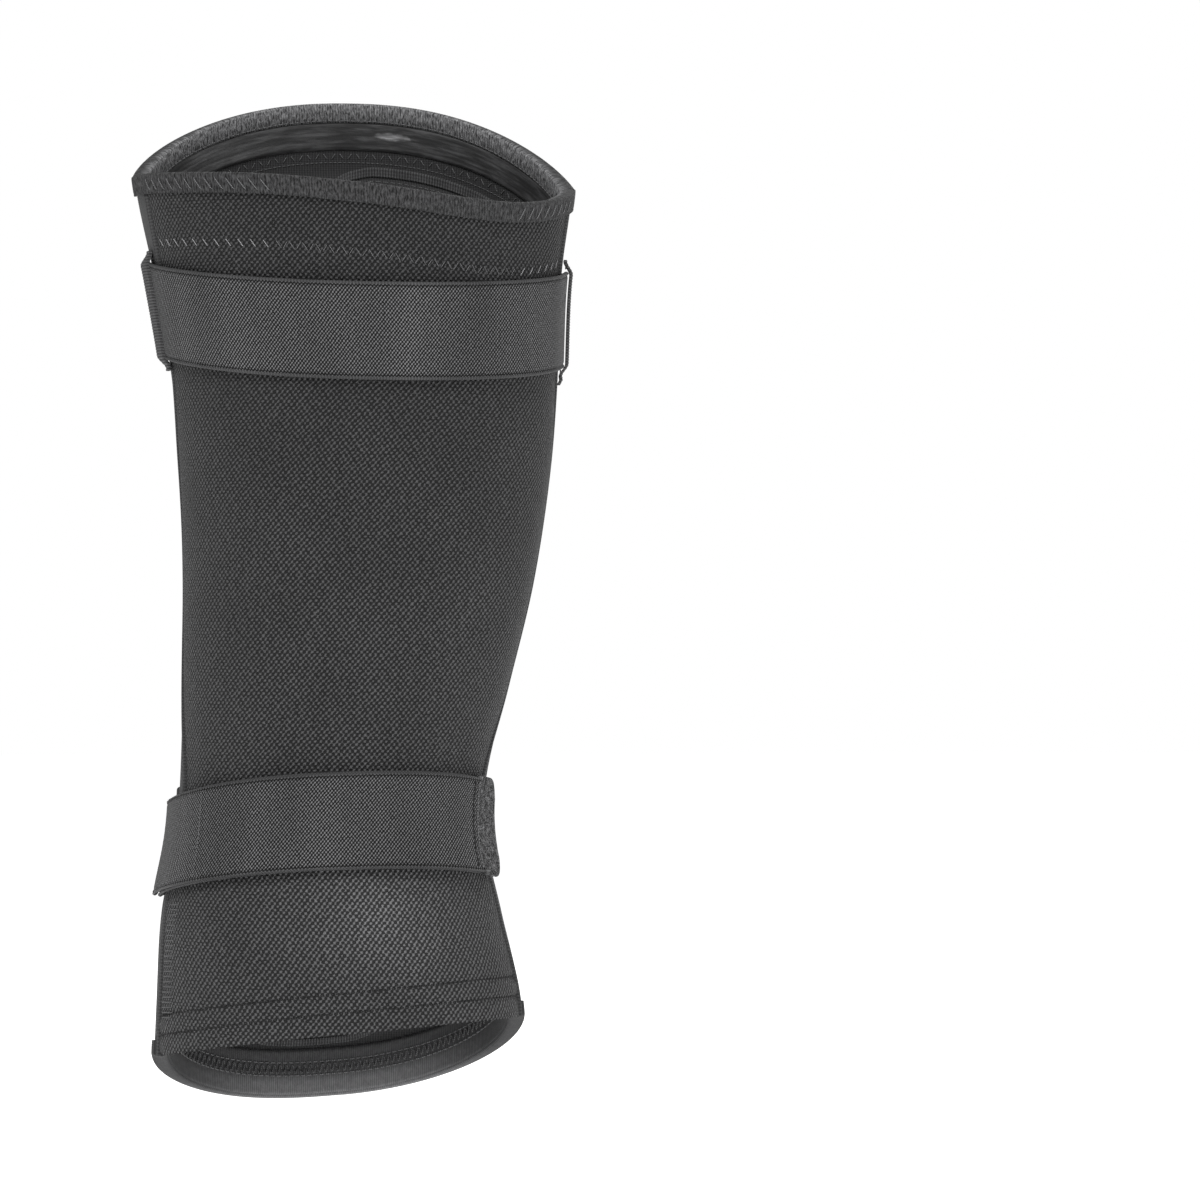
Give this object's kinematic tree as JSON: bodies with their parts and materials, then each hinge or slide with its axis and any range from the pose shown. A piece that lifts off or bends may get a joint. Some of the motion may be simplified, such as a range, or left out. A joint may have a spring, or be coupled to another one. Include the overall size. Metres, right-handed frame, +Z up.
{
  "type": "shin guard",
  "caption": "Sleeve-type knee and shin guard: mesh-backed padded sleeve, bound at the thigh, hemmed at the calf, with elastic straps and a bending knee.",
  "frame": {"origin": "centre of the wearer's knee: on the knee's bending axis, in the middle of the leg channel", "axes": "+Z up the leg to the thigh, +Y to the front of the leg, -Y to its back, +X to the right as seen from behind; the knee bends about X"},
  "size_m": [0.1766, 0.1446, 0.4037],
  "materials": {
    "mesh": "open knitted mesh, matt",
    "panel": "woven stretch cloth, matt",
    "lining": "smooth knitted lining, matt",
    "foam": "soft impact foam, matt",
    "binding": "folded ribbed elastic, matt",
    "gripper": "silicone-coated elastic band, satin",
    "seam_tape": "smooth seam tape, matt",
    "webbing": "ribbed webbing, matt",
    "elastic": "woven elastic with ribbed edges, matt",
    "brushed": "brushed loop and hook cloth, matt",
    "shell": "moulded, fine matt texture",
    "ring": "black coated wire, satin"
  },
  "bodies": {
    "shin": {"shin_back_mesh": "mesh", "shin_front_panel": "panel", "shin_lining": "lining", "shin_pad": "foam", "shin_shell": "shell", "back_hem": "mesh", "calf_hem": "brushed", "calf_facing": "brushed", "shin_seam_left": "seam_tape", "shin_seam_right": "seam_tape", "ring_webbing": "webbing", "calf_strap_under": "elastic", "knee_back_mesh": "mesh", "knee_front_panel": "panel", "knee_lining": "lining", "knee_seam_left": "seam_tape", "knee_seam_right": "seam_tape"},
    "thigh": {"thigh_back_mesh": "mesh", "thigh_front_panel": "panel", "thigh_lining": "lining", "thigh_pad": "foam", "top_binding": "binding", "thigh_gripper": "gripper", "thigh_seam_left": "seam_tape", "thigh_seam_right": "seam_tape", "keeper_left": "webbing", "keeper_right": "webbing", "thigh_strap": "elastic", "thigh_loop_patch": "brushed"},
    "thigh_tab": {"thigh_tab": "brushed"},
    "knee_cap": {"knee_pad": "foam", "knee_shell": "shell"},
    "calf_ring": {"calf_ring": "ring"},
    "calf_strap": {"calf_strap_over": "elastic"},
    "calf_tab": {"calf_tab": "brushed"}
  },
  "joints": [
    {"name": "knee_flex", "type": "hinge", "parent": "shin", "child": "thigh", "pos_m": [0, 0, 0], "axis": [1, 0, 0], "range_deg": [0, 75], "stiffness_Nm_per_rad": 0.8, "deforming": ["knee_back_mesh", "knee_front_panel", "knee_lining", "knee_seam_left", "knee_seam_right"]},
    {"name": "knee_cap_turn", "type": "hinge", "parent": "shin", "child": "knee_cap", "pos_m": [0, 0, 0], "axis": [1, 0, 0], "range_deg": [0, 37.5]},
    {"name": "thigh_tab_peel", "type": "hinge", "parent": "thigh", "child": "thigh_tab", "pos_m": [0.05925, 0.0432, 0.10666], "axis": [-0.0138, 0.0878, -0.996], "range_deg": [0, 70]},
    {"name": "ring_swing", "type": "hinge", "parent": "shin", "child": "calf_ring", "pos_m": [-0.06549, 0.03254, -0.1046], "axis": [-0.0559, 0.0335, -0.9979], "range_deg": [0, 40]},
    {"name": "calf_strap_open", "type": "hinge", "parent": "calf_ring", "child": "calf_strap", "pos_m": [-0.07228, 0.02121, -0.1046], "axis": [-0.0559, 0.0335, -0.9979], "range_deg": [0, 60]},
    {"name": "calf_tab_peel", "type": "hinge", "parent": "calf_strap", "child": "calf_tab", "pos_m": [0.04983, -0.03482, -0.09453], "axis": [0.0363, -0.1484, -0.9883], "range_deg": [0, 70]}
  ],
  "couplings": [
    {"joint": "knee_cap_turn", "follows": "knee_flex", "ratio": 0.5}
  ]
}
